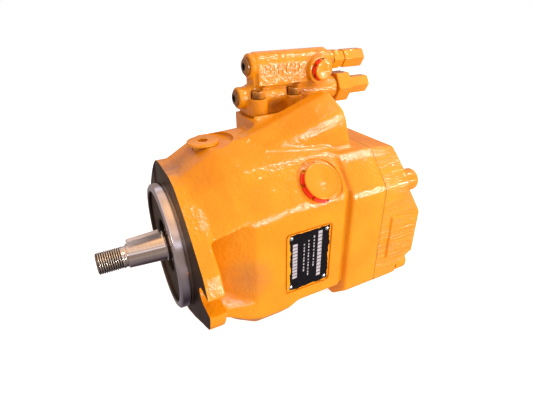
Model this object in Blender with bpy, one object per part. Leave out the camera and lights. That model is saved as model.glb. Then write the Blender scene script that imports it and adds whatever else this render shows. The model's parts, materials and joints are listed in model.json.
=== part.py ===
"""Variable axial piston pump with a two-bolt mounting flange, in metres, +Z up.

The world origin is the centre of the drive shaft's end face. +X runs along the shaft to the
rear. Everything hangs from one empty on the mounting face, so the positions below are in
millimetres behind (X), across (Y) and above (Z) the centre of the mounting face.
"""
import math

import bmesh
import bpy
from mathutils import Matrix, Vector

MM = 0.001
GAP = 0.3                      # clearance between pieces that touch

# mounting flange and pilot
SHAFT_REACH = 74.0             # shaft end to mounting face
FLANGE_THICKNESS = 15.0
PILOT_R = 63.5
PILOT_LENGTH = 12.0
BOLT_SPACING = 181.0
BOLT_SLOT_R = 8.75
EAR_END = 106.5

# casting
REAR_FLANGE_X = 156.0
JOINT_X = 196.0
PLATE_X = 197.4
PLATE_STEP_X = 229.0
REAR_X = 250.0
PLATE_DROP = 4.0               # how far the port plate's top falls towards its step
BASE_Z = -84.0
WALL_Y = 80.0
REAR_WALL_Y = 83.0
CAVITY_R = 56.0
SLANT_ANGLE = math.radians(48.6)   # slanted side face: its normal, from straight up

# rotating group
PISTONS = 9
PITCH_R = 37.0
PISTON_R = 9.8
BALL_R = 7.0
BALL_X = 82.0                  # plane of the ball centres and of the tilt axis
SOLE_X = 73.0
TILT_DEG = 17.0
BLOCK_X = (100.0, 190.2)
BLOCK_R = 50.0
JOURNAL_R = 17.5

# stroking and counter piston
STROKE_Y = -12.0
STROKE_TIP = (85.5, 71.0)      # X and Z of the tip's centre
STROKE_TILT = math.radians(16.0)
STROKE_R = 16.7
COUNTER_Z = -60.0
COUNTER_R = 3.6

# bearings and seal
BEARING_R = 31.0
REAR_BEARING_R = 21.0
SEAL_R = 27.0

# control valve
VALVE_Y = 24.0
UPPER_Z = 160.0
LOWER_Z = 131.0
PAD_Z = 113.5
LUG_Z = 131.5
BORE_R = 4.4                   # bore of the control spools
SCREW_R = 4.0
SCREW_HOLE_R = 4.5
SCREW_SPOTS = ((103.9, 10.5), (144.0, 10.5), (103.9, 38.0), (144.0, 38.0))

# outside fittings
DRAIN_SPOT = (127.5, -66.4, 66.1)
DRAIN_CAP_R = 18.0
SPOTFACE_R = 24.0
PLUG_X = 40.0
PLUG_R = 10.0
PLUG_FLOOR_Z = 99.5
VALVE_PORT = (173.0, 5.0, 153.5)
COVER_BOLTS = ((-68.0, 45.0), (68.0, 45.0), (-72.0, -56.0), (72.0, -56.0))
BOLT_HOLE_R = 7.5
BOLT_HEAD_R = 11.8
SUCTION_PORT_R = 24.0
PRESSURE_PORT_R = 15.0
PORT_PLACE = (37.0, -4.0)      # Y, on either side, and Z
PLATE_BOX = (86.0, 134.0, -39.0, 27.0)     # nameplate: X range, Z range

for old in list(bpy.data.objects):
    bpy.data.objects.remove(old, do_unlink=True)

pump = bpy.data.objects.new("pump", None)
pump.location = (SHAFT_REACH * MM, 0.0, 0.0)
bpy.context.scene.collection.objects.link(pump)


# ---------------------------------------------------------------- materials
def paint(name, color, roughness, metallic=0.0):
    material = bpy.data.materials.new(name)
    material.use_nodes = True
    shader = material.node_tree.nodes["Principled BSDF"]
    shader.inputs["Base Color"].default_value = (*color, 1.0)
    shader.inputs["Roughness"].default_value = roughness
    shader.inputs["Metallic"].default_value = metallic
    return material


YELLOW = (1.0, 0.38, 0.01)
STEEL = (0.55, 0.53, 0.52)
BRONZE = (0.62, 0.42, 0.18)
RED = (0.9, 0.05, 0.01)
BLACK = (0.02, 0.02, 0.02)
RUBBER = (0.05, 0.05, 0.05)
FIBRE = (0.1, 0.1, 0.1)


# ---------------------------------------------------------------- shapes
# pieces cut by so many tools that the exact solver leaves open seams in them
MANY_TOOLS = ("pump_housing", "port_plate", "control_valve_body", "retaining_plate")


def new_object(name, bm, color, roughness=0.4, metallic=0.0, location=(0, 0, 0), smooth=30):
    """A closed mesh given in millimetres about its own origin, hung from the pump's empty."""
    bmesh.ops.remove_doubles(bm, verts=bm.verts, dist=1e-4)
    bmesh.ops.recalc_face_normals(bm, faces=bm.faces)
    bmesh.ops.scale(bm, vec=(MM, MM, MM), verts=bm.verts)
    mesh = bpy.data.meshes.new(name)
    bm.to_mesh(mesh)
    bm.free()
    mesh.shade_smooth()
    mesh.set_sharp_from_angle(angle=math.radians(smooth))
    mesh.materials.append(paint(name, color, roughness, metallic))
    obj = bpy.data.objects.new(name, mesh)
    obj.location = Vector(location) * MM
    obj.parent = pump
    bpy.context.scene.collection.objects.link(obj)
    return obj


def tool(bm, location=(0, 0, 0)):
    """A solid that only cuts or joins another one."""
    obj = new_object("tool", bm, STEEL, location=location)
    obj.hide_render = True
    obj.display_type = "WIRE"
    return obj


def combine(target, other, operation):
    modifier = target.modifiers.new(operation.lower(), "BOOLEAN")
    modifier.operation = operation
    modifier.solver = "MANIFOLD" if target.name in MANY_TOOLS else "EXACT"
    modifier.object = other


def join(target, *bms):
    for bm in bms:
        combine(target, tool(bm), "UNION")


def cut(target, *bms):
    for bm in bms:
        combine(target, tool(bm), "DIFFERENCE")


def turned(profile, segments=32):
    """A solid of revolution about X. profile is a list of (x, radius); radius 0 is a pole."""
    bm = bmesh.new()
    rings = []
    for x, radius in profile:
        if radius == 0:
            rings.append([bm.verts.new((x, 0, 0))])
            continue
        angles = [2 * math.pi * i / segments for i in range(segments)]
        rings.append([bm.verts.new((x, radius * math.cos(a), radius * math.sin(a))) for a in angles])
    closed = profile[0][1] > 0
    pairs = zip(rings, rings[1:] + rings[:1]) if closed else zip(rings, rings[1:])
    for one, two in pairs:
        for i in range(segments):
            j = (i + 1) % segments
            corners = []
            for corner in (one[i % len(one)], one[j % len(one)], two[j % len(two)], two[i % len(two)]):
                if corner not in corners:
                    corners.append(corner)
            if len(corners) > 2:
                bm.faces.new(corners)
    return bm


def tube(x0, x1, inner, outer, segments=32):
    return turned([(x0, inner), (x0, outer), (x1, outer), (x1, inner)], segments)


def rod(x0, x1, radius, segments=32, chamfer=0.0):
    if not chamfer:
        return turned([(x0, 0), (x0, radius), (x1, radius), (x1, 0)], segments)
    inside = radius - chamfer
    profile = [(x0, 0), (x0, inside), (x0 + chamfer, radius), (x1 - chamfer, radius), (x1, inside), (x1, 0)]
    return turned(profile, segments)


def hexagon(x0, x1, across):
    return rod(x0, x1, across / math.sqrt(3), 6)


def prism(points, low, high, axis="X"):
    """A polygon pushed from low to high. Its points are the two other coordinates, in XYZ order."""
    bm = bmesh.new()
    rings = []
    for level in (low, high):
        ring = []
        for a, b in points:
            place = {"X": (level, a, b), "Y": (a, level, b), "Z": (a, b, level)}[axis]
            ring.append(bm.verts.new(place))
        rings.append(ring)
    bm.faces.new(rings[0])
    bm.faces.new(rings[1])
    bmesh.ops.bridge_loops(bm, edges=bm.edges[:])
    return bm


def box(x0, x1, y0, y1, z0, z1):
    return prism([(y0, z0), (y1, z0), (y1, z1), (y0, z1)], x0, x1)


def hull(points):
    bm = bmesh.new()
    for point in points:
        bm.verts.new(point)
    bmesh.ops.convex_hull(bm, input=bm.verts)
    return bm


def loft(sections):
    """Cross sections (x, [(y, z), ...]) with equally many points, joined into one solid."""
    bm = bmesh.new()
    rings = [[bm.verts.new((x, y, z)) for y, z in points] for x, points in sections]
    count = len(rings[0])
    for one, two in zip(rings, rings[1:]):
        for i in range(count):
            j = (i + 1) % count
            bm.faces.new((one[i], one[j], two[j], two[i]))
    bm.faces.new(rings[0])
    bm.faces.new(rings[-1])
    bmesh.ops.triangulate(bm, faces=bm.faces[:])
    return bm


def arc(cy, cz, radius, start, end, steps):
    """Points on a circle, from the start angle to the end angle in degrees."""
    out = []
    for i in range(steps + 1):
        angle = math.radians(start + (end - start) * i / steps)
        out.append((cy + radius * math.cos(angle), cz + radius * math.sin(angle)))
    return out


def moved(bm, offset=(0, 0, 0), turn=0.0, axis="Z"):
    """Turn a solid about an axis through the origin, in radians, and then shift it."""
    bmesh.ops.transform(bm, matrix=Matrix.Rotation(turn, 4, axis), verts=bm.verts)
    bmesh.ops.translate(bm, vec=offset, verts=bm.verts)
    return bm


def upright(bm, x, y, z=0.0):
    """Stand a solid turned about X on end, so that its +X becomes +Z."""
    return moved(bm, (x, y, z), -math.pi / 2, "Y")


def sideways(bm, x, y, z):
    """Lay a solid turned about X across the pump, so that its +X becomes -Y."""
    return moved(bm, (x, y, z), -math.pi / 2, "Z")


def slanted(bm):
    """Set a solid turned about X on the slanted side face, with +X pointing out of it."""
    upright(bm, 0, 0)
    return moved(bm, DRAIN_SPOT, SLANT_ANGLE, "X")


def coil(x0, x1, radius, wire, turns, sides=5, steps=12):
    """A closed helical spring about X, with flat ends."""
    bm = bmesh.new()
    rings = []
    count = turns * steps
    for i in range(count + 1):
        angle = 2 * math.pi * i / steps
        x = x0 + wire + (x1 - x0 - 2 * wire) * i / count
        out = Vector((0, math.cos(angle), math.sin(angle)))
        ring = []
        for k in range(sides):
            phase = 2 * math.pi * k / sides
            ring.append(bm.verts.new(out * (radius + wire * math.cos(phase)) + Vector((x, 0, 0))
                                     + Vector((wire * math.sin(phase), 0, 0))))
        rings.append(ring)
    for one, two in zip(rings, rings[1:]):
        for k in range(sides):
            n = (k + 1) % sides
            bm.faces.new((one[k], one[n], two[n], two[k]))
    bm.faces.new(rings[0])
    bm.faces.new(rings[-1])
    return bm


def mirrored(points):
    """The near half of an outline (-y side, bottom to top) and its mirror image."""
    return points + [(-y, z) for y, z in reversed(points)]


# ---------------------------------------------------------------- housing
FLANGE_OUTLINE = [(-20, -72), (-50, -57), (-74, -42.8), (-90, -34), (-100, -28), (-104, -20)]
FLANGE_OUTLINE += [(-EAR_END, -9.2), (-EAR_END, 9.2), (-99, 25), (-87, 37), (-71, 52.5), (-53, 67)]
FLANGE_OUTLINE += [(-36, 78), (-20, 81.5)]


def body_section(wall, low, ridge, foot, crease, top):
    """Near half of the casting's cross section; foot, crease and top are (y, z) corners."""
    return mirrored([(-foot[0], foot[1]), (-wall, low), (-wall, ridge), (-crease[0], crease[1]),
                     (-top[0], top[1])])


def rear_section(wall):
    return body_section(wall, -64, 51, (62, BASE_Z), (57, 81), (52, 84))


def make_housing():
    body = loft([
        (8, body_section(78, -36, 40, (26, -72), (48, 70), (26, 81))),
        (30, body_section(WALL_Y, -46, 43, (36, -80), (49, 76), (25, 94))),
        (42, body_section(WALL_Y, -54, 46, (46, BASE_Z), (50, 81), (23, 101))),
        (60, body_section(WALL_Y, -60, 48, (60, BASE_Z), (50, 85), (18, 102.5))),
        (90, body_section(WALL_Y, -60, 52, (60, BASE_Z), (50, 86), (18, 104))),
        (101, body_section(WALL_Y, -54, 53, (58, -76), (50, 86), (18, 104))),
        (150, body_section(WALL_Y, -54, 53, (58, -76), (50, 86), (18, 104))),
        (154, body_section(77, -53, 53, (57, -75), (50, 85), (18, 96))),
        (165, body_section(77, -53, 50, (57, -75), (50, 83), (30, 84))),
    ])
    housing = new_object("pump_housing", body, YELLOW, 0.35)
    join(housing, prism(mirrored(FLANGE_OUTLINE), 0, FLANGE_THICKNESS))
    join(housing, prism(rear_section(REAR_WALL_Y), REAR_FLANGE_X, JOINT_X))
    pilot = [(-PILOT_LENGTH, 0), (-PILOT_LENGTH, PILOT_R - 1.5), (-PILOT_LENGTH + 1.5, PILOT_R)]
    pilot += [(-3, PILOT_R), (-3, PILOT_R - 1.5), (4, PILOT_R - 1.5), (4, 0)]
    join(housing, turned(pilot, 40))

    boss = moved(loft([(-95, bulge_section(26)), (-20, bulge_section(34.5)), (3, bulge_section(35)),
                       (7, bulge_section(31))]), turn=-STROKE_TILT, axis="Y")
    join(housing, moved(boss, (170, STROKE_Y, 99)))
    join(housing, box(90, 165, -4, 41, 70, PAD_Z))
    join(housing, box(60, 110, -30, 30, 60, 95))
    cut(housing, box(80, 200, 1.2, 80, PAD_Z, 180))

    # pockets behind the ears, for the heads of the mounting bolts
    for side in (-1, 1):
        corners = [(15, 60, 40), (15, 115, 40), (56, 80.5, 50), (56, 115, 50)]
        corners += [(15, 60, -16), (15, 115, -50), (56, 80.5, -40), (56, 115, -50)]
        cut(housing, hull([(x, side * y, z) for x, y, z in corners]))
        start = 90 * side
        slot = arc(side * BOLT_SPACING / 2, 0, BOLT_SLOT_R, start, start + 180, 8)
        slot += [(side * 120, slot[-1][1]), (side * 120, slot[0][1])]
        cut(housing, prism(slot, -1, FLANGE_THICKNESS + 1))

    # pilot recess, seal bore and front bearing bore
    front = [(-20, 0), (-20, 56), (-9, 56), (-9, SEAL_R + GAP), (9.3, SEAL_R + GAP), (9.3, 24), (11.7, 24)]
    front += [(11.7, BEARING_R + GAP), (30.3, BEARING_R + GAP), (30.3, 26), (45, 26), (45, 0)]
    cut(housing, turned(front, 24))
    # rotating group's cavity, cradle seat and room for the swashplate's arms
    cut(housing, rod(62, JOINT_X + 5, CAVITY_R, 24))
    cut(housing, box(46, 102, -50, 50, -56, 56))
    cut(housing, prism(arc(BALL_X, 0, 48.4, 0, 360, 32)[:-1], -50, 50, "Y"))
    cut(housing, box(44, 112, STROKE_Y - 10, STROKE_Y + 10, 40, 84.5))
    cut(housing, box(44, 104, -10, 10, -73, -40))
    cut(housing, moved(rod(50, 152, 8.0, 12), (0, 0, COUNTER_Z)))
    cut(housing, moved(rod(150, 192, COUNTER_R + 0.5, 8), (0, 0, COUNTER_Z)))
    bore = moved(rod(24, 85, STROKE_R + 0.5, 16), turn=-STROKE_TILT, axis="Y")
    cut(housing, moved(bore, (STROKE_TIP[0], STROKE_Y, STROKE_TIP[1])))

    # top plug, drain port, nameplate recess, cover bolts and valve screws
    cut(housing, upright(rod(0, 30, SPOTFACE_R, 24), PLUG_X + 5, 0, PLUG_FLOOR_Z))
    cut(housing, upright(rod(-12, 5, PLUG_R + 0.4, 16), PLUG_X, 0, PLUG_FLOOR_Z))
    cut(housing, slanted(rod(0, 20, SPOTFACE_R, 24)))
    cut(housing, slanted(rod(-15, 5, 13.4, 16)))
    cut(housing, slanted(rod(-60, 5, 9, 10)))
    x0, x1, z0, z1 = PLATE_BOX
    cut(housing, box(x0 - 2, x1 + 2, -90, -WALL_Y + 1.4, z0 - 2, z1 + 2))
    for y, z in COVER_BOLTS:
        cut(housing, moved(rod(176, JOINT_X + 2, BOLT_HOLE_R, 10), (0, y, z)))
    for x, y in SCREW_SPOTS:
        cut(housing, upright(rod(-12, 5, SCREW_HOLE_R, 8), x, y, PAD_Z))


def bulge_section(radius, steps=20, squareness=2.6):
    """Rounded, slightly square outline of the stroking cylinder's boss."""
    points = []
    for i in range(steps):
        angle = 2 * math.pi * i / steps
        y = math.cos(angle)
        z = math.sin(angle)
        grow = radius / (abs(y) ** squareness + abs(z) ** squareness) ** (1 / squareness)
        points.append((y * grow, z * grow))
    return points


# ---------------------------------------------------------------- port plate
def make_port_plate():
    front = rear_section(REAR_WALL_Y)
    back = [(y, z - PLATE_DROP if z > 60 else z) for y, z in front]
    plate = new_object("port_plate", loft([(PLATE_X, front), (PLATE_STEP_X, back)]), YELLOW, 0.35)
    outer = [(-60, -66), (-83, -54), (-83, 36), (-58, 62)]
    inner = [(-58, -58), (-83, -42), (-83, 11), (-56, 40)]
    join(plate, loft([(PLATE_STEP_X - 4, mirrored(outer)), (PLATE_STEP_X, mirrored(outer)),
                      (REAR_X - 1.5, mirrored(inner)),
                      (REAR_X, mirrored([(y + 1.5, z * 0.97) for y, z in inner]))]))
    cut(plate, rod(PLATE_X - 5, 217.5, REAR_BEARING_R + 0.4, 20))
    for side, port_r in ((-1, PRESSURE_PORT_R), (1, SUCTION_PORT_R)):
        kidney = arc(0, 0, 43, -62, 62, 6) + arc(0, 0, 31, 62, -62, 6)
        cut(plate, prism([(side * y, z) for y, z in kidney], PLATE_X - 5, 216))
        cut(plate, moved(rod(212, REAR_X + 5, port_r, 24), (0, side * PORT_PLACE[0], PORT_PLACE[1])))
    for y, z in COVER_BOLTS:
        cut(plate, moved(rod(PLATE_X - 5, REAR_X + 5, BOLT_HOLE_R, 10), (0, y, z)))
        cut(plate, moved(rod(PLATE_STEP_X + 0.01, REAR_X + 9, BOLT_HEAD_R + 1.2, 16), (0, y, z)))


def make_gasket():
    outline = [(y * 0.985, z * 0.985) for y, z in rear_section(REAR_WALL_Y)]
    gasket = new_object("cover_gasket", prism(outline, JOINT_X + GAP, PLATE_X - GAP), FIBRE, 0.7)
    cut(gasket, rod(JOINT_X - 4, PLATE_X + 4, CAVITY_R + 4, 28))
    for y, z in COVER_BOLTS:
        cut(gasket, moved(rod(JOINT_X - 4, PLATE_X + 4, 8, 10), (0, y, z)))


def make_cover_bolts():
    for number, (y, z) in enumerate(COVER_BOLTS, 1):
        seat = PLATE_STEP_X + GAP
        end = PLATE_STEP_X + 16
        profile = [(178, 0), (178, 6), (179.5, 7), (seat, 7), (seat, BOLT_HEAD_R)]
        profile += [(end - 1.5, BOLT_HEAD_R), (end, BOLT_HEAD_R - 1.2), (end, 0)]
        bolt = new_object(f"cover_bolt_{number}", turned(profile, 12), YELLOW, 0.4, location=(0, y, z))
        cut(bolt, moved(hexagon(end - 8, end + 8, 12), (0, y, z)))


# ---------------------------------------------------------------- shaft and bearings
def make_shaft():
    profile = [(-SHAFT_REACH, 0), (-SHAFT_REACH, 9.4), (-72.6, 10.8), (-50, 10.8), (-49.5, 10.2)]
    profile += [(-46.5, 10.2), (-46, 12), (-11, 13.9), (-10, 15.4), (-7, 15.4), (-6, JOURNAL_R)]
    profile += [(31, JOURNAL_R), (32, 15), (104, 15), (105, 16.2), (215.6, 16.2), (216.6, 15), (216.6, 0)]
    shaft = new_object("drive_shaft", turned(profile, 20), STEEL, 0.25, 1.0)
    cut(shaft, box(-45.4, -12.6, -3.5, 3.5, 8, 30))
    # the key's top is parallel to the taper
    key = prism([(-45, 8.3), (-13, 8.3), (-13, 19.2), (-45, 17.2)], -3.2, 3.2, "Y")
    new_object("shaft_key", key, STEEL, 0.3, 1.0)


def make_bearings():
    new_object("shaft_seal", tube(0.5, 9, JOURNAL_R + GAP, SEAL_R, 24), RUBBER, 0.6)
    cup = [(12, 27.5), (12, BEARING_R), (30, BEARING_R), (30, 25.2)]
    new_object("front_bearing_cup", turned(cup, 24), STEEL, 0.3, 1.0)
    cone = [(12.4, JOURNAL_R + GAP), (12.4, 26.8), (29.6, 24.6), (29.6, JOURNAL_R + GAP)]
    new_object("front_bearing_cone", turned(cone, 24), STEEL, 0.3, 1.0)
    new_object("rear_bearing", tube(201, 217, 16.6, REAR_BEARING_R, 20), STEEL, 0.3, 1.0)


# ---------------------------------------------------------------- rotating group
def piston_places():
    """Each piston's angle about the shaft, starting at the top."""
    return [math.radians(90 + 360 * i / PISTONS) for i in range(PISTONS)]


def sphere_profile(cx, radius, start, end, steps):
    """(x, r) points of a sphere about the axis, between two angles from -X in degrees."""
    out = []
    for i in range(steps + 1):
        angle = math.radians(start + (end - start) * i / steps)
        r = radius * math.sin(angle)
        out.append((cx - radius * math.cos(angle), r if r > 1e-6 else 0))
    return out


def make_block():
    block = new_object("cylinder_block", tube(*BLOCK_X, 16.5, BLOCK_R, 24), STEEL, 0.35, 1.0)
    for angle in piston_places():
        place = (0, PITCH_R * math.cos(angle), PITCH_R * math.sin(angle))
        cut(block, moved(rod(BLOCK_X[0] - 5, 182, PISTON_R + 0.6, 10), place))
        cut(block, moved(rod(170, BLOCK_X[1] + 5, 6, 6), place))
    ball = sphere_profile(BALL_X, 20, 80, 122, 4) + [(94.9, 16.5), (94.9, 15.4), (78.6, 15.4)]
    new_object("retaining_ball", turned(ball, 20), STEEL, 0.3, 1.0)


def make_pistons():
    for number, angle in enumerate(piston_places(), 1):
        place = (BALL_X, PITCH_R * math.cos(angle), PITCH_R * math.sin(angle))
        piston = sphere_profile(0, BALL_R, 0, 140, 4) + [(11, 4.6)]
        piston += [(13, PISTON_R), (84, PISTON_R), (84, 0)]
        new_object(f"piston_{number}", turned(piston, 10), STEEL, 0.2, 1.0, place)
        socket = sphere_profile(0, BALL_R + 1.0, 15, 113, 3)
        inner = [(x, r) for x, r in reversed(socket)]
        slipper = [(SOLE_X - BALL_X, 2), (SOLE_X - BALL_X, 12.2), (-6.4, 12.2), (-6.4, 9.0), (3, 9.0)]
        new_object(f"slipper_{number}", turned(slipper + inner, 10), BRONZE, 0.3, 1.0, place)


def make_retaining_plate():
    plate = new_object("retaining_plate", tube(76.5, 79.2, 21.2, 48.8, 24), STEEL, 0.35, 1.0)
    for angle in piston_places():
        place = (0, PITCH_R * math.cos(angle), PITCH_R * math.sin(angle))
        cut(plate, moved(rod(70, 90, 11.5, 10), place))


def make_valve_plate():
    plate = new_object("valve_plate", tube(190.5, PLATE_X - GAP, 16.9, 46, 24), BRONZE, 0.3, 1.0)
    for side in (-1, 1):
        kidney = arc(0, 0, 41.5, -60, 60, 6) + arc(0, 0, 32.5, 60, -60, 6)
        cut(plate, prism([(side * y, z) for y, z in kidney], 185, 205))


# ---------------------------------------------------------------- swashplate
def cradle_outline(radius, half_angle, steps):
    """(x, z) points of the cradle's arc, on the side towards the mounting face."""
    return arc(0, 0, radius, 180 - half_angle, 180 + half_angle, steps)


def make_swashplate():
    face = SOLE_X - 0.5 - BALL_X
    outline = cradle_outline(44, 60, 14) + [(-16, -42), (-16, -50), (face, -50)]
    outline += [(face, 50), (-16, 50), (-16, 42)]
    swash = new_object("swashplate", prism(outline, -48, 48, "Y"), STEEL, 0.3, 1.0, (BALL_X, 0, 0))

    def local(bm):
        return moved(bm, (BALL_X, 0, 0))

    join(swash, local(box(-16, -3, STROKE_Y - 8, STROKE_Y + 8, 52, 79)))
    join(swash, local(box(-16, face, STROKE_Y - 8, STROKE_Y + 8, 45, 53)))
    join(swash, local(box(-16, -3, -8, 8, -68, -52)))
    join(swash, local(box(-16, face, -8, 8, -53, -45)))
    cut(swash, local(rod(-60, 20, 24, 20)))
    cut(swash, local(moved(rod(-60, 20, 19, 16), turn=math.radians(-TILT_DEG), axis="Y")))
    for number, side in ((1, -1), (2, 1)):
        shell = cradle_outline(44.3, 36, 10) + list(reversed(cradle_outline(47.9, 36, 10)))
        low, high = sorted((side * 27, side * 46))
        shell = prism(shell, low, high, "Y")
        new_object(f"cradle_bearing_{number}", shell, BRONZE, 0.35, 1.0, (BALL_X, 0, 0))


def make_control_pistons():
    stroke = sphere_profile(0, 6, 0, 120, 4) + [(26, 5.2), (31, STROKE_R), (60, STROKE_R), (60, 0)]
    piston = moved(turned(stroke, 16), turn=-STROKE_TILT, axis="Y")
    place = (STROKE_TIP[0], STROKE_Y, STROKE_TIP[1])
    new_object("stroking_piston", piston, STEEL, 0.2, 1.0, place)
    counter = sphere_profile(0, 5.5, 0, 120, 4) + [(5, 7.2), (8, 7.2), (8, COUNTER_R)]
    counter += [(96, COUNTER_R), (96, 0)]
    place = (STROKE_TIP[0], 0, COUNTER_Z)
    new_object("counter_piston", turned(counter, 12), STEEL, 0.2, 1.0, place)
    spring = coil(93.9, 151.6, 5.6, 1.2, 7, 3, 8)
    new_object("return_spring", spring, STEEL, 0.4, 1.0, (0, 0, COUNTER_Z))


# ---------------------------------------------------------------- control valve
def make_valve_body():
    half = 13.0
    upper = [(VALVE_Y + half, 141), (VALVE_Y + half, UPPER_Z)] + arc(VALVE_Y, UPPER_Z, half, 20, 160, 6)
    upper += [(VALVE_Y - half, UPPER_Z), (VALVE_Y - half, 141)]
    body = new_object("control_valve_body", prism(upper, 105, 187), YELLOW, 0.35)
    collar = turned([(98.5, 0), (98.5, 11), (99.5, 12), (110, 12), (110, 0)], 20)
    join(body, moved(collar, (0, VALVE_Y, UPPER_Z)))
    join(body, moved(turned([(183, 0), (183, 11.5), (189, 11), (193, 9.8), (196, 9.8), (196, 0)], 20),
                     (0, VALVE_Y, UPPER_Z)))
    lower = [(85.5, 0), (85.5, 9.6), (86.5, 10.6), (95, 10.6), (98, 12.6), (200, 12.6), (200, 0)]
    join(body, moved(turned(lower, 20), (0, VALVE_Y, LOWER_Z)))
    join(body, box(101, 185, VALVE_Y - 9, VALVE_Y + 9, LOWER_Z + 2, UPPER_Z - 2))
    join(body, box(94, 160, VALVE_Y - 10, VALVE_Y + 13, PAD_Z + GAP, LOWER_Z))
    for x, y in SCREW_SPOTS:
        join(body, upright(rod(PAD_Z + 0.5, LUG_Z, 9, 12), x, y))
    join(body, sideways(rod(-19, 0.0, 14, 20, 1.0), *VALVE_PORT))

    def along(bm, z):
        return moved(bm, (0, VALVE_Y, z))

    cut(body, along(rod(90, 199, BORE_R, 10), UPPER_Z))
    cut(body, along(rod(95, 104.5, 8.6, 16), UPPER_Z))
    cut(body, along(rod(165, 199, 7.4, 12), UPPER_Z))
    cut(body, along(rod(82, 203, BORE_R, 10), LOWER_Z))
    cut(body, along(rod(82, 92, 8.1, 16), LOWER_Z))
    cut(body, along(rod(165, 203, 7.4, 12), LOWER_Z))
    for x, y in SCREW_SPOTS:
        cut(body, upright(rod(100, LUG_Z + 1, SCREW_HOLE_R, 8), x, y))
        cut(body, upright(rod(LUG_Z - 0.2, LUG_Z + 11, 7.6, 10), x, y))
    cut(body, sideways(rod(-9, 5, 6.9, 12), *VALVE_PORT))


def make_valve_fittings():
    def fitting(name, bm, z, color=YELLOW, metallic=0.0):
        return new_object(name, bm, color, 0.4, metallic, (0, VALVE_Y, z))

    for name, x, z, radius, depth in (("upper", 95, UPPER_Z, 8.3, 9.2), ("lower", 83.2, LOWER_Z, 7.8, 8.5)):
        end = [(x, 0), (x, radius - 1.6), (x + 1.2, radius), (x + depth, radius), (x + depth, 0)]
        plug = fitting(f"{name}_end_plug", turned(end, 18), z)
        cut(plug, moved(hexagon(x - 2, x + 4.2, 7), (0, VALVE_Y, z)))
    fitting("pressure_spool", spool(105.2, 164), UPPER_Z, STEEL, 1.0)
    fitting("flow_spool", spool(97.4, 164), LOWER_Z, STEEL, 1.0)
    fitting("pressure_spring", coil(166.5, 189, 4.6, 0.9, 4, 3, 8), UPPER_Z, STEEL, 1.0)
    fitting("flow_spring", coil(166.5, 194, 4.6, 0.9, 4, 3, 8), LOWER_Z, STEEL, 1.0)
    # hollow adjusters on the spring chambers, their lock nuts and hexagon caps
    nut = turned([(196.3, 0), (196.3, 10.4), (204.5, 10.4), (204.5, 9.2), (209.6, 9.2), (209.6, 0)], 6)
    nut = fitting("upper_lock_nut", nut, UPPER_Z)
    join(nut, moved(rod(190, 202, 6.9, 12), (0, VALVE_Y, UPPER_Z)))
    chamber = turned([(200.3, 0), (200.3, 17.2), (217, 17.2), (220.8, 11.5), (220.8, 0)], 6)
    chamber = fitting("lower_spring_housing", chamber, LOWER_Z)
    join(chamber, moved(rod(195, 206, 6.9, 12), (0, VALVE_Y, LOWER_Z)))
    cap = [(209.9, 0), (209.9, 9.6), (210.6, 10.3), (234.5, 10.3), (237, 7.6), (237, 0)]
    fitting("upper_adjuster_cap", turned(cap, 6), UPPER_Z)
    cap = [(221.1, 0), (221.1, 9.6), (221.8, 10.3), (245.5, 10.3), (248, 7.6), (248, 0)]
    fitting("lower_adjuster_cap", turned(cap, 6), LOWER_Z)
    for number, (x, y) in enumerate(SCREW_SPOTS, 1):
        screw = [(-30, 0), (-30, SCREW_R), (GAP, SCREW_R), (GAP, 6.2), (6, 6.2), (6.8, 5.4), (6.8, 0)]
        screw = turned(screw, 10)
        screw = new_object(f"valve_screw_{number}", upright(screw, 0, 0), YELLOW, 0.5, 0.0, (x, y, LUG_Z))
        cut(screw, upright(hexagon(3, 12, 5.5), x, y, LUG_Z))


def spool(x0, x1):
    """A control spool with two waists."""
    profile = [(x0, 0), (x0, 3.2), (x0 + 0.8, 4.0), (x0 + 18, 4.0), (x0 + 19, 2.6), (x0 + 26, 2.6)]
    profile += [(x0 + 27, 4.0), (x0 + 40, 4.0), (x0 + 41, 2.6), (x0 + 46, 2.6), (x0 + 47, 4.0)]
    return turned(profile + [(x1, 4.0), (x1, 0)], 10)


# ---------------------------------------------------------------- outside fittings
def make_fittings():
    cap = [(-13, 0), (-13, 11.8), (-11.8, 13), (GAP, 13), (GAP, DRAIN_CAP_R)]
    cap += [(5.8, DRAIN_CAP_R), (6.6, DRAIN_CAP_R - 0.8), (6.6, 0)]
    new_object("drain_port_cap", slanted(turned(cap, 24)), RED, 0.35)
    plug = [(-11, 0), (-11, PLUG_R - 0.8), (-10, PLUG_R), (GAP, PLUG_R), (GAP, 15), (2.2, 15), (2.9, 14.2)]
    plug = turned(plug + [(2.9, 0)], 24)
    plug = new_object("top_plug", upright(plug, PLUG_X, 0, PLUG_FLOOR_Z), YELLOW, 0.4)
    cut(plug, upright(hexagon(-3, 6, 9.5), PLUG_X, 0, PLUG_FLOOR_Z))
    cap = [(-8, 0), (-8, 6.4), (0.3, 6.4), (0.3, 9.8), (5.6, 9.8), (6.3, 9.1), (6.3, 0)]
    new_object("valve_port_cap", sideways(turned(cap, 20), *VALVE_PORT), RED, 0.35)
    x0, x1, z0, z1 = PLATE_BOX
    new_object("nameplate", box(x0, x1, -79.8, -78.9, z0, z1), BLACK, 0.4)


make_housing()
make_port_plate()
make_gasket()
make_cover_bolts()
make_shaft()
make_bearings()
make_block()
make_pistons()
make_retaining_plate()
make_valve_plate()
make_swashplate()
make_control_pistons()
make_valve_body()
make_valve_fittings()
make_fittings()
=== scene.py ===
"""A yellow axial piston pump on a pale studio floor.

The visible pieces are drawn in millimetres about the centre of the mounting face, with +X along
the shaft to the rear and +Z up, and then set into the frame. Castings are joined from plain
solids, remeshed, rubbed smooth into fillets, and machined afterwards.
"""
import json
import math

import bmesh
import bpy
from mathutils import Matrix, Vector


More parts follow.
